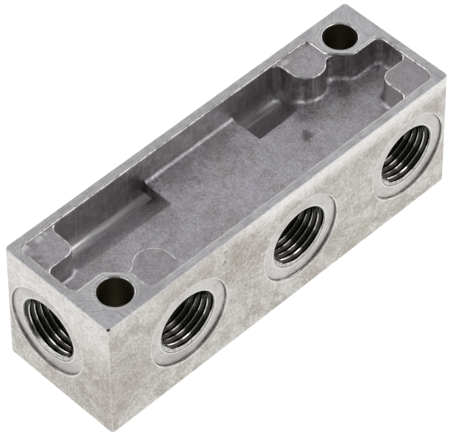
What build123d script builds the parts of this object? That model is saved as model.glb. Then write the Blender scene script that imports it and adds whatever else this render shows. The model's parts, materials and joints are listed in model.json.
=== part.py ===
from build123d import *
from math import atan, degrees, radians, tan
import os

# Cast aluminium air manifold block, one piece, in millimetres.
# X runs along the block from the inlet end to the blind end, the three outlets face -Y,
# and the open pocket is on top. The origin is under the middle, on the base.

# Casting
length = 86.8
width = 26.8
height = 29.0
mould_draft = 0.3
corner_round = 0.8
base_round = 0.4
top_edge_bevel = 0.15

# Pocket in the top, with a gutter along its back wall beside the gallery
side_wall = 2.0
end_wall = 1.95
pocket_depth = 6.5
pocket_corner_round = 1.5
root_fillet = 1.05
gutter_depth = 9.8
gutter_bottom_width = 1.4
gutter_slope_width = 5.7
gutter_slope_round = 20.0
gutter_lip_round = 2.0
gutter_foot_round = 0.5
platform_length = 22.6

# Fixing holes on a diagonal, and the milled pads round them
fixing_bore = 6.6
fixing_inset_end = 7.1
fixing_inset_side = 5.6
fixing_chamfer = 0.35
fixing_pad_reach = 5.15
fixing_pad_bevel = 3.75
fixing_pad_round = 1.8

# Stubs left as cast, lower than the milled rim: a round one beside each fixing hole
# and a square one in each of the other two corners
cast_top_drop = 0.4
rim_bevel = 0.35
round_stub_radius = 3.9
round_stub_inset_end = 16.4
round_stub_inset_side = 5.7
square_stub_length = 7.3
square_stub_width = 7.05
square_stub_round = 2.4

# Outlets and inlet, tapping size for quarter-inch pipe thread, each in a spot face
tapping_bore = 11.8
mouth_bore = 13.6
mouth_angle = 120
spot_face_bore = 18.8
spot_face_depth = 0.3
port_height = 14.5
outlet_count = 3
outlet_pitch = 28.5
last_outlet_inset = 10.4
outlet_depth = 12.2
inlet_offset = 3.1
inlet_depth = 12.5
gallery_bore = 11.0
gallery_end_inset = 14.4
drill_point_angle = 118

# Places that follow from the sizes above
pocket_length = length - 2 * end_wall
pocket_width = width - 2 * side_wall
floor_height = height - pocket_depth
gutter_height = height - gutter_depth
gutter_foot = pocket_width / 2 - gutter_bottom_width
gutter_lip = gutter_foot - gutter_slope_width
fixing_x = length / 2 - fixing_inset_end
fixing_y = width / 2 - fixing_inset_side
pad_left = fixing_x - fixing_pad_reach
pad_front = fixing_y - fixing_pad_reach
pad_corner = (pad_left + fixing_pad_bevel, pad_front)
stub_x = length / 2 - round_stub_inset_end
stub_y = width / 2 - round_stub_inset_side
nose_x = pocket_length / 2 - square_stub_length
nose_y = square_stub_width - pocket_width / 2
spot_face_x = -length / 2 + spot_face_depth
spot_face_y = -width / 2 + spot_face_depth
last_outlet_x = length / 2 - last_outlet_inset
gallery_length = length / 2 - gallery_end_inset - spot_face_x
body_taper = degrees(atan(mould_draft / height))
half_turn = 180
right_angle = 90
middle = 0.5
nearly_upright = 0.9
overcut = 2.0
tolerance = 0.01


def both_ends(shape):
    """A shape at the blind end and its copy turned half round, at the inlet end."""
    return [shape, shape.rotate(Axis.Z, half_turn)]


def corner_at(sketch, point):
    """The corner of a sketch that lies nearest to a point."""
    return sketch.vertices().sort_by_distance(point)[0]


def drill_point(bore):
    """Length of the cone that a drill leaves at the bottom of a blind hole."""
    return bore / 2 / tan(radians(drill_point_angle / 2))


def port_section(spot_face, lower_wall):
    """Half section of a port: X is the radius, Y the depth below its spot face."""
    mouth = mouth_bore / 2
    wall = tapping_bore / 2
    with BuildSketch(spot_face) as section:
        with BuildLine():
            Polyline(
                (0, -overcut),
                (spot_face_bore / 2, -overcut),
                (spot_face_bore / 2, 0),
                (mouth, 0),
                (wall, (mouth - wall) / tan(radians(mouth_angle / 2))),
                *lower_wall,
                close=True,
            )
        make_face()
    return section.sketch


# Plan of the milled pad round the fixing hole at the blind end
with BuildSketch() as milled_pad:
    with BuildLine():
        Polyline(
            pad_corner,
            (length / 2, pad_front),
            (length / 2, width / 2),
            (pad_left, width / 2),
            (pad_left, pad_front + fixing_pad_bevel),
            close=True,
        )
    make_face()
    bevel_ends = [
        corner_at(milled_pad, pad_corner),
        corner_at(milled_pad, (pad_left, pad_front + fixing_pad_bevel)),
    ]
    fillet(bevel_ends, radius=fixing_pad_round)

# Plan of everything that stands in the pocket at the blind end
with BuildSketch() as standing:
    bevel_line = sum(pad_corner)
    with BuildLine():
        Polyline(
            pad_corner,
            (length / 2, pad_front),
            (length / 2, width / 2),
            (stub_x, width / 2),
            (stub_x, stub_y),
            (bevel_line - stub_y, stub_y),
            close=True,
        )
    make_face()
    with Locations((stub_x, stub_y)):
        Circle(round_stub_radius)
        Rectangle(2 * round_stub_radius, width / 2, align=(Align.CENTER, Align.MIN))
    with Locations((nose_x, nose_y)):
        Rectangle(length / 2, width / 2, align=(Align.MIN, Align.MAX))

# Plan of the open pocket, every corner rounded as the mould needs
with BuildSketch() as pocket_plan:
    Rectangle(pocket_length, pocket_width)
    add(both_ends(standing.sketch), mode=Mode.SUBTRACT)
    own_rounds = [((nose_x, nose_y), square_stub_round), (pad_corner, fixing_pad_round)]
    kept_corners = [(stub_x - round_stub_radius, stub_y)] + [corner for corner, _ in own_rounds]
    mould_corners = [
        v for v in pocket_plan.vertices()
        if all(abs(abs(v.X) - abs(x)) > tolerance or abs(abs(v.Y) - abs(y)) > tolerance
               for x, y in kept_corners)
    ]
    fillet(mould_corners, radius=pocket_corner_round)
    for (x, y), own_round in own_rounds:
        for side in (1, -1):
            fillet(corner_at(pocket_plan, (side * x, side * y)), radius=own_round)

# Plan of what is left as cast, lower than the milled rim and pads
with BuildSketch() as cast_top_plan:
    Rectangle(pocket_length, pocket_width)
    add(both_ends(milled_pad.sketch), mode=Mode.SUBTRACT)
    rim_corners = [
        v for v in cast_top_plan.vertices()
        if abs(v.X) > pocket_length / 2 - tolerance or abs(v.Y) > pocket_width / 2 - tolerance
    ]
    fillet(rim_corners, radius=pocket_corner_round)

# The space in the pocket: straight walls over a floor that drops to the gutter, with rounded roots
with BuildPart() as pocket_space:
    with BuildSketch(Plane.XY.offset(height)):
        add(pocket_plan.sketch)
    extrude(amount=-gutter_depth)
    with BuildSketch(Plane.YZ.offset(-length / 2)) as floor_section:
        with BuildLine():
            Polyline(
                (gutter_foot, gutter_height),
                (width / 2, gutter_height),
                (width / 2, gutter_height - overcut),
                (-width / 2, gutter_height - overcut),
                (-width / 2, floor_height),
                (gutter_lip, floor_height),
            )
            RadiusArc((gutter_lip, floor_height), (gutter_foot, gutter_height), gutter_slope_round)
        make_face()
        fillet(corner_at(floor_section, (gutter_lip, floor_height)), radius=gutter_lip_round)
        fillet(corner_at(floor_section, (gutter_foot, gutter_height)), radius=gutter_foot_round)
    extrude(amount=length, mode=Mode.SUBTRACT)
    pocket_walls = [
        f for f in pocket_space.faces()
        if abs(f.normal_at().Z) < tolerance and f.bounding_box().max.Z > height - tolerance
    ]
    wall_roots = [
        e for f in pocket_walls for e in f.edges()
        if e.center().Z < height - tolerance and abs(e.tangent_at(middle).Z) < 1 - tolerance
    ]
    fillet(wall_roots, radius=root_fillet)
    # The platform between the two stretches of gutter, rounded into the back wall
    with BuildSketch(Plane.YZ.offset(-platform_length / 2)) as platform_section:
        with BuildLine():
            back = pocket_width / 2
            Polyline(
                (back, floor_height + root_fillet),
                (width / 2, floor_height + root_fillet),
                (width / 2, gutter_height - overcut),
                (0, gutter_height - overcut),
                (0, floor_height),
                (back - root_fillet, floor_height),
            )
            RadiusArc((back - root_fillet, floor_height), (back, floor_height + root_fillet),
                      -root_fillet)
        make_face()
    extrude(amount=platform_length, mode=Mode.SUBTRACT)

# The casting as drilled, tapped to size and milled
with BuildPart() as manifold_block:
    with BuildSketch():
        Rectangle(length + 2 * mould_draft, width + 2 * mould_draft)
    extrude(amount=height, taper=body_taper)
    upright_edges = manifold_block.edges().filter_by(
        lambda e: abs(e.tangent_at(middle).Z) > nearly_upright
    )
    fillet(upright_edges, radius=corner_round)
    fillet(manifold_block.faces().sort_by(Axis.Z)[0].edges(), radius=base_round)
    chamfer(manifold_block.faces().sort_by(Axis.Z)[-1].edges(), length=top_edge_bevel)

    # Stubs and pocket edge, left as cast below the milled rim and pads
    with BuildSketch(Plane.XY.offset(height)):
        add(cast_top_plan.sketch)
    extrude(amount=-cast_top_drop, mode=Mode.SUBTRACT)
    milled_face = manifold_block.faces().filter_by(Axis.Z).sort_by(Axis.Z)[-1]
    chamfer(milled_face.inner_wires()[0].edges(), length=rim_bevel)
    add(pocket_space.part, mode=Mode.SUBTRACT)

    with Locations(
        (fixing_x, fixing_y, height),
        (-fixing_x, -fixing_y, height),
    ):
        CounterSinkHole(
            fixing_bore / 2,
            fixing_bore / 2 + fixing_chamfer,
            counter_sink_angle=right_angle,
        )

    for i in range(outlet_count):
        outlet_x = last_outlet_x - i * outlet_pitch
        outlet_face = Plane((outlet_x, spot_face_y, port_height), x_dir=(1, 0, 0), z_dir=(0, 0, 1))
        outlet_wall = [
            (tapping_bore / 2, outlet_depth),
            (0, outlet_depth + drill_point(tapping_bore)),
        ]
        revolve(port_section(outlet_face, outlet_wall),
                axis=Axis(outlet_face.origin, outlet_face.y_dir), mode=Mode.SUBTRACT)

    inlet_face = Plane((spot_face_x, inlet_offset, port_height), x_dir=(0, 1, 0), z_dir=(0, 0, -1))
    gallery_wall = [
        (tapping_bore / 2, inlet_depth),
        (gallery_bore / 2, inlet_depth),
        (gallery_bore / 2, gallery_length),
        (0, gallery_length + drill_point(gallery_bore)),
    ]
    revolve(port_section(inlet_face, gallery_wall),
            axis=Axis(inlet_face.origin, inlet_face.y_dir), mode=Mode.SUBTRACT)

os.makedirs("parts", exist_ok=True)
manifold_block.part.label = "manifold_block"
export_step(manifold_block.part, "parts/manifold_block.step")
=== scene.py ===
"""Dresses the air manifold block: pipe threads, broken edges, wear and each surface's finish."""

import json
import math

import bmesh
import bpy
from bpy.props import FloatProperty, FloatVectorProperty, IntProperty, PointerProperty
from mathutils import Matrix, Vector


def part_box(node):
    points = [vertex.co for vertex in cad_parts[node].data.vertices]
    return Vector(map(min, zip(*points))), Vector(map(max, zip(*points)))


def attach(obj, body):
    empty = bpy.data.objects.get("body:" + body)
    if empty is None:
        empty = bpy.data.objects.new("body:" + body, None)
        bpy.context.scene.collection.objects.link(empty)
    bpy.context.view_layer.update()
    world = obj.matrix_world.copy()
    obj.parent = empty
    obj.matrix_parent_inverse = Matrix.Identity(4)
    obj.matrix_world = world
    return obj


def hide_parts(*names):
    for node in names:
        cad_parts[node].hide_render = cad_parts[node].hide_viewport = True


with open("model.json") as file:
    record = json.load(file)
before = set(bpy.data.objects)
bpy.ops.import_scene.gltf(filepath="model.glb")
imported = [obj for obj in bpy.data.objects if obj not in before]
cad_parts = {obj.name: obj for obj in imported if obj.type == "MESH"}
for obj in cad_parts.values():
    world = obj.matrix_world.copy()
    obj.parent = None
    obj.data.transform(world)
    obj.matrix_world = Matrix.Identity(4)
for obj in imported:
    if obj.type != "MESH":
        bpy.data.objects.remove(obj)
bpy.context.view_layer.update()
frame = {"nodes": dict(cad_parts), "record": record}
block_low, block_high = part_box("manifold_block")

bl_info = {
    "name": "Air Manifold Block",
    "version": (1, 0, 0),
    "blender": (4, 5, 0),
    "location": "View3D > Sidebar > Manifold",
    "description": "Cuts the threads of the cast manifold block and gives each surface its finish",
    "category": "Object",
}

MM = 0.001
NODE = "manifold_block"
BODY = "root"

# Places on the block, in millimetres. X runs to the blind end, the outlets face -Y and Z is up.
BLOCK_TOP = block_high.z / MM
MOULD_DRAFT = 0.3
DRAFT = MOULD_DRAFT / BLOCK_TOP
POCKET_MARGIN = 1.9
RIM_MARGIN = 1.0
GUTTER_FLOOR = 18.9
CAST_TOP_DROP = 0.4
FIXING_HOLES = ((36.3, 7.8), (-36.3, -7.8))
FIXING_BORE = 3.3
BURR_RING = 4.05
HOLE_BURR = (BURR_RING - 0.1, BURR_RING, BURR_RING, BURR_RING + 0.1)
PAD_SIDE = 31.15
PAD_FRONT = 2.65
PAD_BEVEL = 3.75
RIM_BEVEL = 0.35

# Ports
SPOT_FACE = 9.4
SPOT_WALL = (-1.3, -0.4)
MOUTH = 6.8
MOUTH_DEPTH = 0.52
THREAD_REACH = 6.75
BORE_REACH = {"inlet": 75.0, "outlet_1": 17.0, "outlet_2": 17.0, "outlet_3": 17.0}
PLAIN_END = 1.0

# Bands about a port's axis, in radius, depth or height over the bore, and CREST_EDGE in parts of a
# crest's width
SPOT_BURR = (SPOT_FACE, SPOT_FACE + 0.06, SPOT_FACE + 0.2, SPOT_FACE + 0.4)
SPOT_BURR_OUT = (0.3, 0.5)
SPOT_OUTER = (SPOT_FACE - 0.8, SPOT_FACE - 0.2)
SPOT_FOOT = (SPOT_FACE - 0.25, SPOT_FACE - 0.08)
SPOT_FOOT_DEPTH = (-0.2, -0.08)
MOUTH_LIP = (MOUTH - 0.02, MOUTH + 0.06, MOUTH + 0.16, MOUTH + 0.3)
CONE_DIMMED = (0.0, 0.1, 0.5, 0.65)
CONE_RING = (0.62, 0.7, 0.82, 0.9)
CREST_BAND = 0.08
CREST_EDGE = (0.4, 1.0)
CREST_SIDE = (-0.2, -0.1)
CREST_WIDE = (0.8, 2.4)
CREST_FADE = (2.5, 6.5)

# The milling cutter's path over the rim and pads
CUTTER_RADIUS = 13.6
CUTTER_Y = 2.0
CUTTER_SIDE = 0.985
ARC_STRETCH = 0.06
RIM_STRETCH = 0.04

# Stretches of the block over which a finish comes in, from nothing to its full strength and, in the
# lines of four numbers, back to nothing
END_FACE = (43.0, 43.4)
CORNER_X = (43.0, 43.2)
CORNER_Y = (13.0, 13.2)
PALE_SIDE = (24.0, 28.5)
PALE_END = (12.0, 26.0)
CALM_SIDE = (24.5, 28.0)
CALM_MIDDLE = (-16.0, -2.0)
CALM_CORNER = (40.0, 42.0)
CALM_END = (12.0, 24.0)
PAD_START = (32.0, 36.0)
NO_PAD = (0.0, 40.0)
RIM_CORNER = (40.8, 41.6)
INNER_RIM = (10.9, 11.3)
PAD_RIM = (11.2, 11.4)
RIM_LINE = (11.7, 11.78, 11.9, 12.02)
PAD_LINE = (0.0, 0.06, 0.22, 0.34)
PAD_LINE_START = (1.0, 3.0)
PAD_LINE_END = (9.8, 10.2)
GUTTER_BOTTOM = (19.4, 19.95)

# Marks: the middle of each mark, its radius and its strength. Most are dirt, stains, smears and
# wear; some dark ones in the pocket are painted shade
POCKET_MARKS = (
    ((18.5, -1.3, 22.5), 1.6, 0.65),
    ((17.4, -2.0, 22.5), 1.3, 0.5),
    ((30.9, 1.1, 22.5), 1.8, 0.4),
    ((20.9, 2.4, 22.5), 1.7, 0.35),
    # Painted shadow at the near end of the raised platform
    ((-15.5, 2.5, 22.5), 4.5, 0.25),
    ((-12.5, 11.4, 24.5), 5.0, 0.6),
    ((27.0, 3.2, 27.5), 6.5, 0.65),
    ((35.0, 2.4, 27.5), 6.5, 0.6),
    ((41.3, -0.5, 27.0), 4.0, 0.45),
    ((20.5, 11.3, 26.0), 7.0, 0.4),
    ((-11.6, 9.5, 20.0), 2.5, 0.5),
    ((-33.2, -1.2, 22.5), 2.0, 0.2),
    ((-5.0, 8.5, 21.0), 6.0, 0.3),
    ((4.0, 8.5, 21.0), 6.0, 0.3),
)
TOP_MARKS = (
    ((-27.0, -8.0, 28.6), 8.0, 0.16),
    ((38.0, -8.5, 28.6), 9.0, 0.22),
    ((-41.1, 7.6, 28.6), 1.6, 0.45),
    ((-40.9, 5.6, 28.6), 1.3, 0.4),
    ((-39.2, 10.2, 28.6), 1.4, 0.3),
)
TOP_SMEARS = (
    ((-40.7, 11.0, 28.6), 1.0, 0.8),
    ((-37.4, 11.0, 28.6), 1.3, 0.6),
    ((-35.8, 10.9, 28.6), 0.8, 0.5),
    ((24.4, 10.6, 28.6), 1.1, 0.5),
)
SKIN_MARKS = (
    ((-10.5, -13.5, 21.0), 6.5, 0.55),
    ((-12.0, -13.5, 25.0), 4.0, 0.45),
    ((-8.5, -13.5, 14.0), 4.0, 0.35),
    ((-24.0, -13.4, 28.0), 11.0, 0.32),
    ((18.8, -13.5, 21.5), 5.5, 0.3),
    ((17.5, -13.5, 13.0), 4.5, 0.2),
    ((-38.0, -13.5, 12.0), 11.0, 0.5),
    # This mark only darkens the inlet's end face towards its foot
    ((-43.6, -2.0, 1.0), 10.0, 0.4),
    ((-26.4, -13.6, 0.7), 0.5, 0.85),
    ((-24.9, -13.6, 1.3), 0.35, 0.7),
    ((-23.1, -13.6, 0.5), 0.45, 0.85),
)
# These darken two spot faces towards their bottom
SPOT_MARKS = (
    ((-27.5, -13.1, 7.5), 6.0, 0.55),
    ((-43.1, -1.0, 7.5), 6.0, 0.5),
)
MILLED_MARKS = (
    ((-35.0, -10.5, 29.0), 3.6, 0.5),
    ((-32.0, -12.3, 29.0), 4.0, 0.4),
    ((-42.5, 4.0, 29.0), 7.0, 0.3),
)
SCRATCH_PLACE = (20.8, -2.3, 22.5)
SCRATCH_SIZE = (0.25, 1.5, 1.0)
DRAW_STRETCH = (0.55, 0.55, 9.0)
DRILL_STRETCH = (1.0, 1.0, 0.2)
SMALL_MARKS = (
    {"name": "nick in the top corner", "at": (-43.2, -13.3, 28.8), "reach": (0.5, 0.36, 0.4)},
    {"name": "dimple beside the far round stub", "at": (30.6, 10.9, 28.7),
     "reach": (0.42, 0.42, 0.4)},
)

# Tones that the finishes turn to in places, painted highlights and painted shade among them
PALE_SKIN = (0.79, 0.78, 0.755)
RUBBED_SKIN = (0.91, 0.90, 0.88)
DARKER_SKIN = (0.38, 0.32, 0.285)
SKIN_GRAIN = ((0.86, 0.855, 0.83), (0.30, 0.28, 0.25))
PIT = (0.07, 0.065, 0.06)
POCKET_TINT = (0.57, 0.54, 0.63)
POCKET_CLOUDS = ((0.78, 0.765, 0.81), (0.36, 0.34, 0.36))
POCKET_GRAIN = ((0.86, 0.85, 0.88), (0.26, 0.245, 0.25))
POCKET_DIRT_AND_SHADE = (0.13, 0.115, 0.11)
SCRATCHED = (0.9, 0.88, 0.87)
DRAW_MARKS = (0.72, 0.71, 0.70)
GUTTER_HIGHLIGHT = (0.90, 0.89, 0.91)
TOP_TONE = (0.31, 0.295, 0.31)
SMEARED = (0.95, 0.94, 0.95)
MILLED_LIGHT = (0.90, 0.89, 0.90)
BURR_AND_HIGHLIGHT = (0.95, 0.94, 0.94)
RIM_HIGHLIGHT = (0.82, 0.81, 0.83)
TURNED_RINGS = (0.42, 0.41, 0.39)
TURNED_GRAIN = ((0.84, 0.83, 0.81), (0.32, 0.31, 0.29))
TURNED_DARKER = (0.34, 0.33, 0.325)
TURNED_OUTER_SHADE = (0.34, 0.33, 0.31)
TURNED_FOOT_SHADE = (0.09, 0.085, 0.08)
OIL = (0.03, 0.028, 0.02)
CONE_LINE = (0.12, 0.115, 0.10)
PITTED_SHADE = ((0.05, 0.045, 0.04), (0.12, 0.11, 0.10))
DULL_EDGE = (0.38, 0.375, 0.38)
DRILLED_SHADE = ((0.20, 0.185, 0.125), (0.30, 0.28, 0.19))

# Soft boxes, as directions seen from the block, and where the lights of the studio fade, as parts
# of a direction
SOFT_BOXES = ((0.203, -0.608, 0.767), (-0.608, 0.203, 0.767))
SOFT_BOX_EDGE = (0.955, 0.98)
WALL_SPREAD = (0.2, 0.7)
WALL_FOOT = (0.15, 0.48)
PANEL_SPREAD = (0.45, 0.8)
PANEL_TOP = (0.45, 0.72)
STUDIO_WHITE = (1, 0.99, 0.985, 1)

# Floor, in millimetres
FLOOR_RADIUS = 3000.0
FLOOR_DROP = 0.05

# Marks that a face carries from one step to the next
UNMARKED = 0
# Faces of broken edges, whose finish is worn metal that also paints highlights
WORN_AND_HIGHLIT = 1

# How the mesh is read, in millimetres
WELD = 0.0002
SAME_HEIGHT = 0.01
NEARBY = 0.1

# How far out of a nick or dimple its own faces lie, as a share of its reach
MARK_REACH = 1.02

# Which way a face looks, as the part of its normal along an axis
UNDERCUT = -0.1
SLANTED = 0.5
FLAT_ON = 0.95

# Angles from one face to the next
FLAT_ANGLE = math.radians(0.5)
SHARP_ANGLE = math.radians(55)
CREASE_ANGLE = math.radians(50)

# Whitworth form of the pipe thread
SHARP_HEIGHT_SHARE = 1 / 6
ROOT_ROUND_SHARE = 0.1373


class ThreadSettings(bpy.types.PropertyGroup):
    """Sizes of the quarter-inch pipe thread in the four ports"""

    pitch: FloatProperty(name="Pitch", description="Distance from one turn to the next",
                         default=1.337 * MM, unit="LENGTH", precision=6)
    major_radius: FloatProperty(name="Major radius", description="Radius at the roots",
                                default=6.5785 * MM, unit="LENGTH", precision=6)
    flank_angle: FloatProperty(name="Flank angle", description="Lean of each flank",
                               default=math.radians(27.5), subtype="ANGLE")
    oversize: FloatProperty(name="Oversize",
                            description="What the tap takes off each flank beyond the form",
                            default=0.1 * MM, unit="LENGTH", precision=6)
    bore_clearance: FloatProperty(name="Bore clearance",
                                  description="Reach of the cutter inside the bore",
                                  default=0.3 * MM, unit="LENGTH", precision=6)
    lead_in: FloatProperty(name="Lead in", description="Start of the cutter outside the bore",
                           default=1.5 * MM, unit="LENGTH", precision=6)
    plain_end: FloatProperty(name="Plain end",
                             description="Bore left without a thread at its bottom",
                             default=PLAIN_END * MM, unit="LENGTH", precision=6)
    steps: IntProperty(name="Steps", description="Sections in each turn",
                       default=80, min=24, max=160)


class EdgeSettings(bpy.types.PropertyGroup):
    """How far the edges are broken"""

    machined: FloatProperty(name="Machined edges", description="Width of the break on cut edges",
                            default=0.07 * MM, unit="LENGTH", precision=6)
    cast: FloatProperty(name="Cast edges",
                        description="Round on the edges of the stubs left as cast",
                        default=0.3 * MM, unit="LENGTH", precision=6)


class FinishSettings(bpy.types.PropertyGroup):
    """Colours of the aluminium in its different finishes; the pocket wall, bore and edge colours
    also paint shade and highlights
    """

    skin: FloatVectorProperty(name="Cast skin", description="Tumbled skin of the casting",
                              default=(0.64, 0.63, 0.60), size=3, subtype="COLOR")
    stain: FloatVectorProperty(name="Stain", description="Duller, warmer patches in the cast skin",
                               default=(0.43, 0.375, 0.34), size=3, subtype="COLOR")
    oxide: FloatVectorProperty(name="Oxide", description="Greenish patches in the cast skin",
                               default=(0.44, 0.44, 0.37), size=3, subtype="COLOR")
    pocket: FloatVectorProperty(name="Pocket", description="Skin of the casting in the pocket",
                                default=(0.56, 0.55, 0.595), size=3, subtype="COLOR")
    # The pocket wall's dull colour is painted shade on the upright walls
    wall: FloatVectorProperty(name="Pocket wall", description="Duller skin on the upright walls",
                              default=(0.305, 0.295, 0.28), size=3, subtype="COLOR")
    smudge: FloatVectorProperty(name="Smudge", description="Brownish smudges in the pocket",
                                default=(0.39, 0.35, 0.345), size=3, subtype="COLOR")
    milled: FloatVectorProperty(name="Milled", description="Milled rim and pads",
                                default=(0.70, 0.69, 0.715), size=3, subtype="COLOR")
    line: FloatVectorProperty(name="Cutter line", description="Darker lines that the cutter leaves",
                              default=(0.37, 0.36, 0.38), size=3, subtype="COLOR")
    turned: FloatVectorProperty(name="Turned", description="Spot faces of the ports",
                                default=(0.64, 0.63, 0.61), size=3, subtype="COLOR")
    # Bright metal of worn edges; the same colour paints highlights on the corners, round the spot
    # faces and mouths, and on the thread crests
    wear_and_highlight: FloatVectorProperty(name="Worn edge",
                              description="Bright metal on edges and thread crests",
                              default=(0.86, 0.85, 0.84), size=3, subtype="COLOR")
    # The bore's dark colour is painted shade inside the bores
    bore: FloatVectorProperty(name="Bore", description="Bores and thread flanks, dark with oil",
                              default=(0.045, 0.043, 0.034), size=3, subtype="COLOR")


class StageSettings(bpy.types.PropertyGroup):
    """The pale floor, the light round it and the camera"""

    floor: FloatProperty(name="Floor", description="Brightness of the floor", default=1.02, min=0)
    overhead: FloatProperty(name="Overhead", description="Brightness of the room all round",
                            default=0.22, min=0)
    panels: FloatProperty(name="Panels",
                          description="Brightness of the two panels beside the camera",
                          default=1.1, min=0)
    behind: FloatProperty(name="Behind",
                          description="Brightness of the wall across from the camera",
                          default=0.45, min=0)
    horizon: FloatProperty(name="Horizon", description="What that wall gains towards its foot",
                           default=1.1, min=0)
    lamps: FloatProperty(name="Lamps",
                         description="Brightness of the two soft boxes above the block",
                         default=2.4, min=0)
    azimuth: FloatProperty(name="Azimuth", description="Camera's turn round the block",
                           default=math.radians(-44.24), subtype="ANGLE")
    elevation: FloatProperty(name="Elevation", description="Camera's height over the horizon",
                             default=math.radians(49.04), subtype="ANGLE")
    roll: FloatProperty(name="Roll", description="Camera's turn about its own axis",
                        default=math.radians(-0.41), subtype="ANGLE")
    distance: FloatProperty(name="Distance", description="From the camera to the block's middle",
                            default=592.0 * MM, unit="LENGTH")
    right: FloatProperty(name="Right", description="Block's middle to the right of the picture's",
                         default=1.067 * MM, unit="LENGTH", precision=6)
    down: FloatProperty(name="Down", description="Block's middle below the picture's",
                        default=-1.139 * MM, unit="LENGTH", precision=6)
    lens: FloatProperty(name="Lens", description="Focal length on a 36 mm sensor", default=255.13)


class Value:
    """A socket of a node tree. Python's operators on it add Math nodes."""

    def __init__(self, shader, socket):
        self.shader = shader
        self.socket = socket

    def math(self, operation, *others):
        """A Math node on this value and the others."""
        inputs = dict(enumerate((self,) + others))
        return self.shader.node("ShaderNodeMath", {"operation": operation}, inputs)

    def __abs__(self):
        return self.math("ABSOLUTE")

    def __add__(self, other):
        return self.math("ADD", other)

    def __mul__(self, other):
        return self.math("MULTIPLY", other)

    def __sub__(self, other):
        return self.math("SUBTRACT", other)

    def __rsub__(self, other):
        return self.shader.node("ShaderNodeMath", {"operation": "SUBTRACT"}, {0: other, 1: self})

    def __truediv__(self, other):
        return self.math("DIVIDE", other)

    __radd__ = __add__
    __rmul__ = __mul__

    def between(self, low, high):
        """0 below low, 1 above high and a smooth rise between them."""
        return self.shader.node(
            "ShaderNodeMapRange",
            {"interpolation_type": "SMOOTHSTEP"},
            {"Value": self, "From Min": low, "From Max": high},
        )

    def band(self, start, full, fading, end):
        """1 from full to fading, 0 before start and after end."""
        return self.between(start, full) * (1 - self.between(fading, end))


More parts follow.
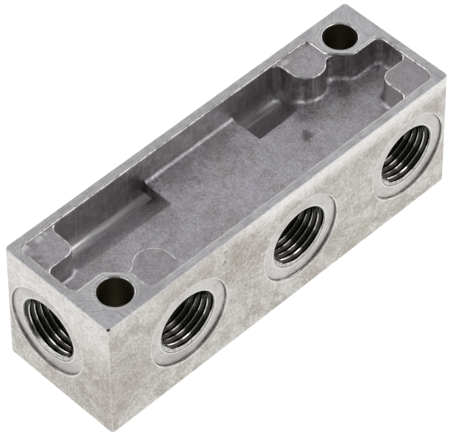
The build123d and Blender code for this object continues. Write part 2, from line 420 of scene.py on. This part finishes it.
class Shader:
    """The node tree of a material or of the world."""

    def __init__(self, owner):
        owner.use_nodes = True
        self.tree = owner.node_tree
        self.tree.nodes.clear()

    def node(self, kind, settings=None, sockets=None, output=0):
        """Adds a node, sets it, gives its sockets values or links and returns one output."""
        node = self.tree.nodes.new(kind)
        for name, value in (settings or {}).items():
            setattr(node, name, value)
        for name, value in (sockets or {}).items():
            if isinstance(value, Value):
                self.tree.links.new(value.socket, node.inputs[name])
            else:
                node.inputs[name].default_value = value
        return Value(self, node.outputs[output]) if len(node.outputs) else None

    def vector(self, operation, first, second, output=0):
        """A Vector Math node on two vectors."""
        return self.node(
            "ShaderNodeVectorMath", {"operation": operation}, {0: first, 1: second}, output
        )

    def mix(self, factor, low, high):
        """A colour between low and high."""
        colours = [c if isinstance(c, Value) else (*c, 1) for c in (low, high)]
        return self.node(
            "ShaderNodeMix", {"data_type": "RGBA"}, {0: factor, 6: colours[0], 7: colours[1]}, 2
        )

    def length(self, vector):
        """The length of a vector."""
        return self.node("ShaderNodeVectorMath", {"operation": "LENGTH"}, {0: vector}, "Value")

    def place(self):
        """The point on the object, in millimetres."""
        point = self.node("ShaderNodeTexCoord", output="Object")
        scale = {0: point, "Scale": 1 / MM}
        return self.node("ShaderNodeVectorMath", {"operation": "SCALE"}, scale)

    def axes(self, vector):
        """The X, Y and Z of a vector."""
        first = self.node("ShaderNodeSeparateXYZ", sockets={0: vector})
        return [Value(self, socket) for socket in first.socket.node.outputs]

    def joined(self, x, y=0.0):
        """A vector of an X and a Y."""
        return self.node("ShaderNodeCombineXYZ", {}, {"X": x, "Y": y})

    def stretched(self, point, sizes):
        """The point with each axis divided by a size."""
        return self.vector("DIVIDE", point, sizes)

    def noise(self, point, size, detail=2.0, roughness=0.5, distortion=0.0, seed=0.0):
        """Noise whose features are about size millimetres wide."""
        return self.node(
            "ShaderNodeTexNoise",
            {"noise_dimensions": "4D"},
            {"Vector": point, "W": seed, "Scale": 1 / size, "Detail": detail,
             "Roughness": roughness, "Distortion": distortion},
            "Fac",
        )

    def specks(self, point, spacing, radius, share):
        """1 in a few small round specks, on a share of the cells of that spacing."""
        cell = {"Vector": point, "Scale": 1 / spacing}
        away = self.node("ShaderNodeTexVoronoi", {}, cell, "Distance")
        chance = self.node("ShaderNodeTexVoronoi", {}, cell, "Color")
        near = 1 - (away * spacing).between(radius * 0.6, radius)
        return near * self.axes(chance)[0].math("LESS_THAN", share)

    def away_from(self, point, place):
        """Distance from a place, in millimetres."""
        return self.length(self.vector("SUBTRACT", point, place))

    def blot(self, point, place, radius, ragged):
        """1 at a place, 0 outside the radius round it, with an edge made ragged by noise."""
        away = self.away_from(point, place)
        return 1 - (away / radius + 3 * (ragged - 0.5)).between(0.3, 1.0)

    def marked(self, colour, point, marks, ragged, tone):
        """The colour turned to a tone at each mark."""
        for place, radius, strength in marks:
            colour = self.mix(self.blot(point, place, radius, ragged) * strength, colour, tone)
        return colour

    def grained(self, colour, grain, tones, strengths, pale_from, dark_from):
        """The colour turned pale where the grain is high and dark where it is low."""
        pale, dark = tones
        pale_strength, dark_strength = strengths
        colour = self.mix(grain.between(*pale_from) * pale_strength, colour, pale)
        return self.mix((1 - grain.between(*dark_from)) * dark_strength, colour, dark)

    def port_place(self, point, port):
        """Distance from a port's axis and depth below the mouth of its bore, in millimetres."""
        across = [1 - abs(round(part)) for part in port["inward"]]
        apart = self.vector("SUBTRACT", point, port["mouth"] / MM)
        radius = self.length(self.vector("MULTIPLY", apart, across))
        return radius, self.vector("DOT_PRODUCT", apart, port["inward"], "Value")

    def bump(self, height, depth, normal=None):
        """A normal bumped by height, whose full range is depth millimetres."""
        sockets = {"Height": height, "Distance": depth * MM, "Strength": 1.0}
        if normal:
            sockets["Normal"] = normal
        return self.node("ShaderNodeBump", {}, sockets)

    def metal(self, colour, roughness, normal):
        """Ends the tree in a bare metal surface."""
        surface = self.node(
            "ShaderNodeBsdfPrincipled",
            {},
            {"Base Color": colour, "Metallic": 1.0, "Roughness": roughness, "Normal": normal},
        )
        self.node("ShaderNodeOutputMaterial", {}, {"Surface": surface})


def new_shader(name):
    """An empty material of that name and its shader."""
    material = bpy.data.materials.new(name)
    return material, Shader(material)


def cast_skin(finish, ports):
    """Outer skin of the casting: tumbled, mottled, paler along its upper edge, with a few pits, and
    highlights painted along the upright corners and round the spot faces.
    """
    material, shader = new_shader("cast_skin")
    point = shader.place()
    x, y, z = shader.axes(point)
    patches = shader.noise(point, size=5.0, detail=5, roughness=0.65, distortion=0.6)
    patches = patches.between(0.42, 0.6)
    tints = shader.noise(point, size=8.0, seed=3.0).between(0.42, 0.6)
    grain = shader.noise(point, size=0.4, detail=4, roughness=0.7, seed=5.0)
    rubbed = shader.noise(point, size=1.2, detail=4, roughness=0.65, seed=7.0)

    # Where the skin is pale, where it is rubbed calm as well, and the block's upright corners,
    # which carry a painted highlight
    end = abs(x).between(*END_FACE)
    pale = z.between(*PALE_SIDE) * (1 - end) + z.between(*PALE_END) * end
    side = z.between(*CALM_SIDE) * x.between(*CALM_MIDDLE) + 0.3 * x.between(*CALM_CORNER)
    calm = side.math("MINIMUM", 1.0) * (1 - end) + z.between(*CALM_END) * end * 0.4
    flare = (BLOCK_TOP - z) * DRAFT
    corner = (abs(x) - flare).between(*CORNER_X) * (abs(y) - flare).between(*CORNER_Y)

    stain = shader.mix(tints, finish.stain, finish.oxide)
    colour = shader.mix(patches * (1 - 0.6 * pale) * 0.7, finish.skin, stain)
    colour = shader.mix(pale * 0.55, colour, PALE_SKIN)
    colour = shader.mix(calm * 0.6, colour, RUBBED_SKIN)
    colour = shader.marked(colour, point, SKIN_MARKS, rubbed, DARKER_SKIN)
    strong = 0.45 - 0.3 * calm
    colour = shader.mix(rubbed.between(0.46, 0.62) * strong, colour, stain)
    colour = shader.grained(colour, grain, SKIN_GRAIN, (strong, strong), (0.5, 0.62), (0.36, 0.5))
    # A painted highlight along the rounded upright corners, broken up by the rubbed noise
    colour = shader.mix(corner * rubbed.between(0.3, 0.55) * 0.6, colour, finish.wear_and_highlight)
    # A burr ring just outside each spot face, painted bright as a highlight along its edge
    for port in ports:
        radius, depth = shader.port_place(point, port)
        burr_highlight = radius.band(*SPOT_BURR) * (-1 * depth).between(*SPOT_BURR_OUT)
        colour = shader.mix(burr_highlight * rubbed.between(0.3, 0.5) * 0.6, colour, finish.wear_and_highlight)
    pits = shader.specks(point, spacing=5.0, radius=0.3, share=0.06)
    colour = shader.mix(pits * 0.8, colour, PIT)

    rough = 0.44 + grain * 0.12 + patches * 0.06
    waves = shader.bump(shader.noise(point, size=4.0), depth=0.05)
    peel = shader.bump(grain - pits * 0.6, depth=0.035, normal=waves)
    shader.metal(colour, rough, peel)
    return material


def cast_pocket(finish, tops=False):
    """Skin in the pocket, or on the tops left as cast: purplish, with brownish smudges."""
    material, shader = new_shader("cast_tops" if tops else "cast_pocket")
    point = shader.place()
    facing_up = shader.axes(shader.node("ShaderNodeTexCoord", output="Normal"))[2]
    level = facing_up.between(0.2, 0.9)
    smudges = shader.noise(point, size=4.5, detail=5, roughness=0.65, distortion=0.8)
    smudges = smudges.between(0.45, 0.65)
    clouds = shader.noise(point, size=1.8, detail=4, roughness=0.6, distortion=0.3, seed=2.0)
    grain = shader.noise(point, size=0.34, detail=3, roughness=0.7, seed=4.0)
    tints = shader.noise(point, size=7.0, seed=6.0).between(0.45, 0.6)
    ragged = shader.noise(point, size=0.9, detail=4, roughness=0.7, seed=8.0)

    colour = shader.mix(tints * 0.5, finish.pocket, POCKET_TINT)
    colour = shader.mix(smudges * 0.5, colour, finish.smudge)
    # Upright faces turned to the duller wall colour: painted shade
    colour = shader.mix((1 - level) * 0.85, colour, finish.wall)
    colour = shader.grained(colour, clouds, POCKET_CLOUDS, (0.25, 0.3), (0.5, 0.64), (0.38, 0.5))
    strong = 0.15 + 0.25 * level
    colour = shader.grained(colour, grain, POCKET_GRAIN, (strong, strong), (0.5, 0.62), (0.38, 0.5))
    scratch_middle = [part / size for part, size in zip(SCRATCH_PLACE, SCRATCH_SIZE)]
    scratch = shader.blot(shader.stretched(point, SCRATCH_SIZE), scratch_middle, 1.0, clouds)
    colour = shader.mix(scratch * 0.5, colour, SCRATCHED)
    # Dark marks: dirt, and in the pocket painted shade among them
    colour = shader.marked(colour, point, TOP_MARKS if tops else POCKET_MARKS, ragged, POCKET_DIRT_AND_SHADE)
    if tops:
        colour = shader.mix(0.25, colour, TOP_TONE)
        colour = shader.marked(colour, point, TOP_SMEARS, ragged, SMEARED)
    else:
        along_wall = shader.stretched(point, DRAW_STRETCH)
        draw = shader.noise(along_wall, size=1.0, roughness=0.6, seed=9.0).between(0.52, 0.66)
        upright = 1 - abs(facing_up).between(0.05, 0.3)
        colour = shader.mix(draw * upright * 0.22, colour, DRAW_MARKS)
        # A painted highlight along the bottom of the gutter, where the fillet at the wall's foot
        # catches the light
        gutter_highlight = 1 - shader.axes(point)[2].between(*GUTTER_BOTTOM)
        colour = shader.mix(gutter_highlight * 0.85, colour, GUTTER_HIGHLIGHT)

    rough = 0.36 + grain * 0.12 + smudges * 0.05
    waves = shader.bump(clouds, depth=0.05)
    shader.metal(colour, rough, shader.bump(grain, depth=0.025, normal=waves))
    return material


def milled(finish):
    """Milled rim and pads, with the cutter's marks, burrs round the holes and highlights painted
    along the edges of the pads and the rim.
    """
    material, shader = new_shader("milled")
    point = shader.place()
    x, y, _ = shader.axes(point)
    patches = shader.noise(point, size=2.5, detail=4, roughness=0.65, seed=4.0)
    grain = shader.noise(point, size=0.4, detail=3, roughness=0.6, seed=6.0)

    # The cutter's arcs, and straight lines along the rim and through the corners without a pad
    side = (y - CUTTER_Y) / CUTTER_RADIUS
    side = side.math("MAXIMUM", -CUTTER_SIDE).math("MINIMUM", CUTTER_SIDE)
    along = x + CUTTER_RADIUS * (1 - side * side).math("SQRT")
    arcs = shader.joined(along, y * ARC_STRETCH)
    straight = shader.joined(y, x * RIM_STRETCH)
    no_pad = (x * y * -1).between(*NO_PAD) * (1 - abs(x).between(*RIM_CORNER))
    along_rim = (1 - abs(x).between(*PAD_START)).math("MAXIMUM", no_pad)
    beside = abs(y).between(*INNER_RIM) * along_rim
    curved_lines = shader.noise(arcs, size=0.22, detail=3, roughness=0.7)
    straight_lines = shader.noise(straight, size=0.16, detail=3, roughness=0.7)
    lines = curved_lines * (1 - beside) + straight_lines * beside
    broad = shader.noise(arcs, size=1.1, roughness=0.6, seed=2.0)

    # Burrs round the fixing holes, and highlights painted along the bevels of the pads and the rim
    ring = 0.0
    for hole_x, hole_y in FIXING_HOLES:
        away = shader.away_from(point, (hole_x, hole_y, BLOCK_TOP))
        ring = away.band(*HOLE_BURR) + ring
    from_side = abs(x) - PAD_SIDE
    from_front = abs(y) - PAD_FRONT
    from_bevel = (from_side + from_front - PAD_BEVEL) * math.sqrt(0.5)
    inside_pad = from_side.math("MINIMUM", from_front).math("MINIMUM", from_bevel) - RIM_BEVEL
    pad_edge_highlight = inside_pad.band(*PAD_LINE) * (1 - abs(y).between(*PAD_RIM))
    pad_edge_highlight = pad_edge_highlight * (0.2 + 0.8 * from_side.between(*PAD_LINE_START))
    pad_edge_highlight = pad_edge_highlight * (1 - from_side.between(*PAD_LINE_END))
    rim_edge_highlight = abs(y).band(*RIM_LINE) * along_rim

    colour = shader.mix((1 - lines.between(0.36, 0.52)) * 0.7, finish.milled, finish.line)
    colour = shader.mix(lines.between(0.52, 0.66) * 0.35, colour, MILLED_LIGHT)
    colour = shader.mix(patches.between(0.46, 0.66) * 0.4, colour, finish.line)
    colour = shader.mix(grain.between(0.48, 0.64) * 0.3, colour, finish.line)
    colour = shader.mix(ring * patches.between(0.34, 0.5) * 0.9, colour, BURR_AND_HIGHLIGHT)
    colour = shader.mix(beside * 0.05, colour, finish.line)
    # Painted highlight along the pads' edges
    colour = shader.mix(pad_edge_highlight * 0.9, colour, BURR_AND_HIGHLIGHT)
    # Painted highlight beside the rounded inner edge of the rim
    colour = shader.mix(rim_edge_highlight * patches.between(0.3, 0.45) * 0.5, colour, RIM_HIGHLIGHT)
    colour = shader.marked(colour, point, MILLED_MARKS, patches, finish.line)

    rough = 0.3 + broad * 0.14
    waves = shader.bump(broad, depth=0.02)
    shader.metal(colour, rough, shader.bump(lines, depth=0.014, normal=waves))
    return material


def turned(finish, port):
    """Spot face of one port, with faint rings about its axis, shade painted in towards the wall
    round it and a highlight painted at the mouth's edge.
    """
    material, shader = new_shader("turned_" + port["name"])
    point = shader.place()
    radius, depth = shader.port_place(point, port)
    rings = shader.noise(shader.joined(radius), size=0.2, roughness=0.6)
    patches = shader.noise(point, size=3.0, detail=5, roughness=0.65, distortion=0.4)
    grain = shader.noise(point, size=0.4, detail=3, roughness=0.65, seed=2.0)

    colour = shader.mix(rings.between(0.4, 0.62) * 0.35, finish.turned, TURNED_RINGS)
    colour = shader.mix(patches.between(0.45, 0.65) * 0.5, colour, finish.stain)
    colour = shader.grained(colour, grain, TURNED_GRAIN, (0.35, 0.3), (0.5, 0.66), (0.34, 0.48))
    colour = shader.marked(colour, point, SPOT_MARKS, patches, TURNED_DARKER)
    # Painted shade towards the spot face's wall and at its foot
    colour = shader.mix(radius.between(*SPOT_OUTER) * 0.15, colour, TURNED_OUTER_SHADE)
    foot = radius.between(*SPOT_FOOT) * (depth + MOUTH_DEPTH).between(*SPOT_FOOT_DEPTH)
    colour = shader.mix(foot * patches.between(0.3, 0.55) * 0.7, colour, TURNED_FOOT_SHADE)
    # Painted highlight along the mouth's edge
    colour = shader.mix(radius.band(*MOUTH_LIP) * 0.6, colour, finish.wear_and_highlight)

    shader.metal(colour, 0.34 + patches * 0.12, shader.bump(rings, depth=0.008))
    return material


def tapped(finish, port):
    """Bore of one port: flanks painted dark as the shade inside the bore, with darker oil patches;
    crests painted bright as highlights, and the cone at the mouth bright.
    """
    material, shader = new_shader("tapped_" + port["name"])
    point = shader.place()
    radius, depth = shader.port_place(point, port)
    bore = port["radius"] / MM
    length = port["length"] / MM
    oil = shader.noise(point, size=1.2, detail=3, roughness=0.6)
    rubbed = shader.noise(point, size=0.8, detail=3, roughness=0.6, seed=3.0).between(0.32, 0.55)

    # Height of the cone over the bore, and of the point over the cone and the bore
    cone = (depth * -((MOUTH - bore) / MOUTH_DEPTH)).math("MAXIMUM", 0.0)
    groove = radius - bore - cone

    # The crests are painted bright as highlights, widest at the mouth and fading into painted shade
    # on the way in; the rubbed noise breaks the highlight up
    width = CREST_BAND * (1 + 1.5 * (1 - depth.between(*CREST_WIDE)))
    crest_highlight = (1 - (groove / width).between(*CREST_EDGE)) * groove.between(*CREST_SIDE)
    crest_highlight = crest_highlight * (1 - 0.75 * depth.between(*CREST_FADE))
    crest_highlight = crest_highlight * (1 - depth.between(length - PLAIN_END, length))
    crest_highlight = crest_highlight * (0.5 + 0.5 * rubbed) * (1 - 0.3 * cone.band(*CONE_DIMMED))

    # The bore's dark colour is painted shade, with darker oil patches
    colour = shader.mix(oil.between(0.4, 0.7) * 0.5, finish.bore, OIL)
    colour = shader.mix(crest_highlight * 0.85, colour, finish.wear_and_highlight)
    colour = shader.mix(cone.band(*CONE_RING) * 0.75, colour, CONE_LINE)
    film = shader.bump(shader.noise(point, size=0.3), depth=0.004)
    shader.metal(colour, 0.08 + oil * 0.1, film)
    return material


def pitted():
    """Nicks and dimples, painted dark as the shade in them."""
    material, shader = new_shader("pitted")
    grain = shader.noise(shader.place(), size=0.3)
    shader.metal(shader.mix(grain, *PITTED_SHADE), 0.5 + grain * 0.1, shader.bump(grain, depth=0.02))
    return material


def worn_and_highlit_edge(finish):
    """Broken edges, bright where they are rubbed and duller between; the bright metal also paints
    highlights along the edges.
    """
    material, shader = new_shader("worn_and_highlit_edge")
    rubbed = shader.noise(shader.place(), size=1.8, detail=4, roughness=0.7, seed=1.0)
    rubbed = rubbed.between(0.4, 0.56)
    # Bright rubbed metal, partly wear and partly a painted highlight along the edges
    colour = shader.mix(rubbed * 0.9, DULL_EDGE, finish.wear_and_highlight)
    shader.metal(colour, 0.38 - rubbed * 0.1, shader.bump(rubbed, depth=0.02))
    return material


def drilled():
    """Bores of the fixing holes, painted dark and brownish as the shade inside them."""
    material, shader = new_shader("drilled")
    along_bore = shader.stretched(shader.place(), DRILL_STRETCH)
    grain = shader.noise(along_bore, size=0.6)
    shader.metal(shader.mix(grain, *DRILLED_SHADE), 0.35 + grain * 0.1, shader.bump(grain, depth=0.01))
    return material


def find_ports():
    """Each threaded port: its name, the mouth end of its bore, the way in, radius and length."""
    ports = []
    for mount in frame["record"]["mounts"]:
        if mount["kind"] != "threaded_hole":
            continue
        outward = Vector(mount["axis"])
        length = mount["dims"]["length_mm"] * MM
        ports.append({
            "name": mount["name"],
            "mouth": Vector(mount["pos_m"]) + outward * length / 2,
            "inward": -outward,
            "radius": mount["dims"]["r_mm"] * MM,
            "length": length,
        })
    return ports


def thread_section(thread, bore_radius):
    """Section of the tap's ridge: pairs of radius and place along the axis."""
    sharp_radius = thread.major_radius + (
        thread.pitch / 2 / math.tan(thread.flank_angle) * SHARP_HEIGHT_SHARE
    )
    root_round = ROOT_ROUND_SHARE * thread.pitch
    inner_radius = bore_radius - thread.bore_clearance
    half_width = (sharp_radius - inner_radius) * math.tan(thread.flank_angle)
    root_turn = math.pi / 2 - thread.flank_angle
    root = []
    for share in (-1, -0.5, 0, 0.5, 1):
        angle = share * root_turn
        root.append((
            thread.major_radius - root_round * (1 - math.cos(angle)),
            root_round * math.sin(angle) + share * thread.oversize,
        ))
    half_width += thread.oversize
    return [(inner_radius, -half_width)] + root + [(inner_radius, half_width)]


def add_tap(shape, thread, port):
    """Adds the closed right-hand helical ridge that cuts the thread of one port."""
    inward = port["inward"]
    first = inward.orthogonal().normalized()
    second = inward.cross(first)
    section = thread_section(thread, port["radius"])
    inner_radius = section[0][0]
    run = thread.lead_in + port["length"] - thread.plain_end
    turns = run / thread.pitch
    count = int(turns * thread.steps)
    # The ridge fades out over its last half turn
    fade_steps = thread.steps // 2
    rings = []
    for step in range(count + 1):
        angle = 2 * math.pi * step / thread.steps
        along = -thread.lead_in + thread.pitch * step / thread.steps
        height = min(1, (count + 1 - step) / fade_steps)
        radial = first * math.cos(angle) + second * math.sin(angle)
        rings.append([
            shape.verts.new(
                port["mouth"]
                + radial * (inner_radius + (radius - inner_radius) * height)
                + inward * (along + offset)
            )
            for radius, offset in section
        ])
    for ring, following in zip(rings, rings[1:]):
        for i in range(len(ring)):
            j = (i + 1) % len(ring)
            shape.faces.new((ring[i], ring[j], following[j], following[i]))
    shape.faces.new(reversed(rings[0]))
    shape.faces.new(rings[-1])


def new_piece(name, shape):
    """A mesh object made from a bmesh, which is freed."""
    mesh = bpy.data.meshes.new(name)
    shape.to_mesh(mesh)
    shape.free()
    piece = bpy.data.objects.new(name, mesh)
    bpy.context.scene.collection.objects.link(piece)
    return piece


def cut(piece, cutter):
    """Takes the cutter's shape out of the piece and deletes the cutter."""
    boolean = piece.modifiers.new("cut", "BOOLEAN")
    boolean.operation = "DIFFERENCE"
    boolean.solver = "EXACT"
    boolean.object = cutter
    bpy.context.view_layer.update()
    evaluated = piece.evaluated_get(bpy.context.evaluated_depsgraph_get())
    mesh = bpy.data.meshes.new_from_object(evaluated)
    piece.modifiers.clear()
    piece.data = mesh
    bpy.data.objects.remove(cutter)


def break_edges(shape, edges, width, segments):
    """Rounds off the edges and marks the new faces for the bright edge finish."""
    bmesh.ops.bevel(shape, geom=edges, offset=width, segments=segments, profile=0.5,
                    affect="EDGES", clamp_overlap=False, material=WORN_AND_HIGHLIT)


def broken_block(widths):
    """The CAD solid's mesh with flat faces joined and sharp outer edges broken."""
    shape = bmesh.new()
    shape.from_mesh(frame["nodes"][NODE].data)
    bmesh.ops.remove_doubles(shape, verts=shape.verts, dist=WELD * MM)
    bmesh.ops.dissolve_limit(shape, angle_limit=FLAT_ANGLE, verts=shape.verts, edges=shape.edges)
    for face in shape.faces:
        face.material_index = UNMARKED
    sharp = [e for e in shape.edges if e.is_convex and e.calc_face_angle(0) > SHARP_ANGLE]
    cast_top = block_high.z - CAST_TOP_DROP * MM
    cast = [e for e in sharp if all(abs(v.co.z - cast_top) < SAME_HEIGHT * MM for v in e.verts)]
    machined = [e for e in sharp if e not in set(cast)]
    break_edges(shape, machined, widths.machined, segments=2)
    break_edges(shape, [e for e in cast if e.is_valid], widths.cast, segments=3)
    return shape


def add_small_marks(shape):
    """Adds a rounded cutter for each nick and dimple."""
    for mark in SMALL_MARKS:
        place = Matrix.Translation(Vector(mark["at"]) * MM)
        reach = Matrix.Diagonal((*(part * MM for part in mark["reach"]), 1))
        bmesh.ops.create_icosphere(shape, subdivisions=2, radius=1, matrix=place @ reach)


def zone(centre, normal, ports):
    """Name of the finish on a face of the block, from its place in millimetres."""
    high = block_high / MM
    cast_top = high.z - CAST_TOP_DROP + SAME_HEIGHT
    inside = abs(centre.x) < high.x - POCKET_MARGIN and abs(centre.y) < high.y - POCKET_MARGIN
    inside_rim = abs(centre.x) < high.x - RIM_MARGIN and abs(centre.y) < high.y - RIM_MARGIN
    if inside and GUTTER_FLOOR < centre.z < cast_top and normal.z > UNDERCUT:
        return "cast_tops" if centre.z > cast_top - NEARBY else "cast_pocket"
    for hole_x, hole_y in FIXING_HOLES:
        away = math.hypot(centre.x - hole_x, centre.y - hole_y)
        if away < FIXING_BORE + NEARBY and abs(normal.z) < SLANTED:
            return "drilled"
    for mark in SMALL_MARKS:
        apart = centre - Vector(mark["at"])
        if Vector(part / reach for part, reach in zip(apart, mark["reach"])).length < MARK_REACH:
            return "pitted"
    if normal.z > SLANTED and centre.z > cast_top:
        return "worn_and_highlit_edge" if inside_rim and normal.z < FLAT_ON else "milled"
    for port in ports:
        from_mouth = centre - port["mouth"] / MM
        depth = from_mouth.dot(port["inward"])
        radius = (from_mouth - port["inward"] * depth).length
        facing = abs(normal.dot(port["inward"]))
        on_spot_face = facing > FLAT_ON and abs(depth + MOUTH_DEPTH) < NEARBY
        beside_wall = facing < SLANTED and abs(radius - SPOT_FACE) < NEARBY
        in_its_wall = beside_wall and SPOT_WALL[0] < depth < SPOT_WALL[1]
        if radius < SPOT_FACE + NEARBY and (on_spot_face or in_its_wall):
            return "turned_" + port["name"]
        if radius < THREAD_REACH + NEARBY and -MOUTH_DEPTH < depth < BORE_REACH[port["name"]]:
            return "tapped_" + port["name"]
    return "cast_skin"


def assign_finishes(piece, materials, ports):
    """Gives each face the material of its place."""
    names = list(materials)
    marks = [face.material_index for face in piece.data.polygons]
    piece.data.materials.clear()
    for name in names:
        piece.data.materials.append(materials[name])
    for face, mark in zip(piece.data.polygons, marks):
        name = "worn_and_highlit_edge" if mark == WORN_AND_HIGHLIT else zone(face.center / MM, face.normal, ports)
        face.material_index = names.index(name)


def round_the_crests(piece):
    """Lets the light run round the crests and roots of the threads without a crease."""
    names = [material.name for material in piece.data.materials]
    tapped_slots = [i for i, name in enumerate(names) if name.startswith("tapped_")]
    shape = bmesh.new()
    shape.from_mesh(piece.data)
    for edge in shape.edges:
        if all(face.material_index in tapped_slots for face in edge.link_faces):
            edge.smooth = True
    shape.to_mesh(piece.data)
    shape.free()


class MANIFOLD_OT_block(bpy.types.Operator):
    """Builds the block with its threads, broken edges and finishes, in place of the plain solid"""

    bl_idname = "manifold.block"
    bl_label = "Manifold Block"

    def execute(self, context):
        scene = context.scene
        ports = find_ports()
        piece = new_piece("threaded_block", broken_block(scene.manifold_edges))
        taps = bmesh.new()
        for port in ports:
            add_tap(taps, scene.manifold_thread, port)
        add_small_marks(taps)
        bmesh.ops.recalc_face_normals(taps, faces=taps.faces)
        cut(piece, new_piece("taps", taps))

        finish = scene.manifold_finish
        materials = {
            "cast_skin": cast_skin(finish, ports),
            "cast_pocket": cast_pocket(finish),
            "cast_tops": cast_pocket(finish, tops=True),
            "milled": milled(finish),
            "worn_and_highlit_edge": worn_and_highlit_edge(finish),
            "pitted": pitted(),
            "drilled": drilled(),
        }
        for port in ports:
            materials["turned_" + port["name"]] = turned(finish, port)
            materials["tapped_" + port["name"]] = tapped(finish, port)
        assign_finishes(piece, materials, ports)

        piece.data.shade_smooth()
        piece.data.set_sharp_from_angle(angle=CREASE_ANGLE)
        round_the_crests(piece)
        weighted = piece.modifiers.new("flat faces", "WEIGHTED_NORMAL")
        weighted.mode = "FACE_AREA"
        weighted.keep_sharp = True
        weighted.weight = 100

        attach(piece, BODY)
        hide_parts(NODE)
        return {"FINISHED"}


def floor_material(stage):
    """A pale floor that is bright enough to show white, clear from below."""
    material, shader = new_shader("pale_floor")
    glow = shader.node("ShaderNodeEmission", {}, {"Color": (1, 1, 1, 1), "Strength": stage.floor})
    clear = shader.node("ShaderNodeBsdfTransparent")
    back = shader.node("ShaderNodeNewGeometry", output="Backfacing")
    surface = shader.node("ShaderNodeMixShader", {}, {0: back, 1: glow, 2: clear})
    shader.node("ShaderNodeOutputMaterial", {}, {"Surface": surface})
    return material


def light_room(stage):
    """A dim studio: panels beside the camera, a paler wall across from it and two soft boxes."""
    world = bpy.data.worlds.new("studio")
    shader = Shader(world)
    x, y, z = shader.axes(shader.node("ShaderNodeTexCoord", output="Generated"))
    front = (math.sin(stage.azimuth), -math.cos(stage.azimuth))
    behind = (-front[0] * x - front[1] * y).between(*WALL_SPREAD)
    panels = abs(front[1] * x - front[0] * y).between(*PANEL_SPREAD) * (1 - z.between(*PANEL_TOP))
    foot = behind * (1 - z.between(*WALL_FOOT))
    strength = stage.overhead + stage.panels * panels + stage.behind * behind + stage.horizon * foot
    for lamp_x, lamp_y, lamp_z in SOFT_BOXES:
        facing = lamp_x * x + lamp_y * y + lamp_z * z
        strength = strength + stage.lamps * facing.between(*SOFT_BOX_EDGE)
    sockets = {"Color": STUDIO_WHITE, "Strength": strength}
    background = shader.node("ShaderNodeBackground", {}, sockets)
    shader.node("ShaderNodeOutputWorld", {}, {"Surface": background})
    bpy.context.scene.world = world


def place_camera(stage):
    """Sets the camera where the photograph was taken from."""
    azimuth, elevation, roll = stage.azimuth, stage.elevation, stage.roll
    back = Vector((
        math.sin(azimuth) * math.cos(elevation),
        -math.cos(azimuth) * math.cos(elevation),
        math.sin(elevation),
    ))
    level = Vector((0, 0, 1)).cross(back).normalized()
    rise = back.cross(level)
    right = level * math.cos(roll) + rise * math.sin(roll)
    up = rise * math.cos(roll) - level * math.sin(roll)
    middle = (block_low + block_high) / 2
    data = bpy.data.cameras.new("camera")
    data.sensor_fit = "HORIZONTAL"
    data.lens = stage.lens
    camera = bpy.data.objects.new("camera", data)
    camera.matrix_world = Matrix((
        (right.x, up.x, back.x, 0),
        (right.y, up.y, back.y, 0),
        (right.z, up.z, back.z, 0),
        (0, 0, 0, 1),
    ))
    camera.location = middle - right * stage.right + up * stage.down + back * stage.distance
    bpy.context.scene.collection.objects.link(camera)
    bpy.context.scene.camera = camera


class MANIFOLD_OT_stage(bpy.types.Operator):
    """Lays the pale floor and sets the soft light and the camera"""

    bl_idname = "manifold.stage"
    bl_label = "Stage"

    def execute(self, context):
        stage = context.scene.manifold_stage
        shape = bmesh.new()
        bmesh.ops.create_circle(shape, cap_ends=True, segments=64, radius=FLOOR_RADIUS * MM)
        floor = new_piece("floor", shape)
        floor.location.z = -FLOOR_DROP * MM
        floor.data.materials.append(floor_material(stage))
        light_room(stage)
        place_camera(stage)
        context.scene.view_settings.view_transform = "Standard"
        return {"FINISHED"}


class MANIFOLD_PT_panel(bpy.types.Panel):
    """Lists the block's sizes and colours and the steps that build it"""

    bl_idname = "MANIFOLD_PT_panel"
    bl_label = "Manifold"
    bl_space_type = "VIEW_3D"
    bl_region_type = "UI"
    bl_category = "Manifold"

    def draw(self, context):
        for name in SETTINGS:
            group = getattr(context.scene, name)
            box = self.layout.box()
            for key in group.bl_rna.properties.keys():
                if key not in ("rna_type", "name"):
                    box.prop(group, key)
        for operator in OPERATORS:
            self.layout.operator(operator.bl_idname)


SETTINGS = {
    "manifold_thread": ThreadSettings,
    "manifold_edges": EdgeSettings,
    "manifold_finish": FinishSettings,
    "manifold_stage": StageSettings,
}
OPERATORS = (MANIFOLD_OT_block, MANIFOLD_OT_stage)
CLASSES = (*SETTINGS.values(), *OPERATORS, MANIFOLD_PT_panel)


def register():
    for item in CLASSES:
        bpy.utils.register_class(item)
    for name, group in SETTINGS.items():
        setattr(bpy.types.Scene, name, PointerProperty(type=group))


def unregister():
    for name in SETTINGS:
        delattr(bpy.types.Scene, name)
    for item in reversed(CLASSES):
        bpy.utils.unregister_class(item)


def main():
    register()
    bpy.ops.manifold.block()
    bpy.ops.manifold.stage()


if __name__ == "__main__":
    main()
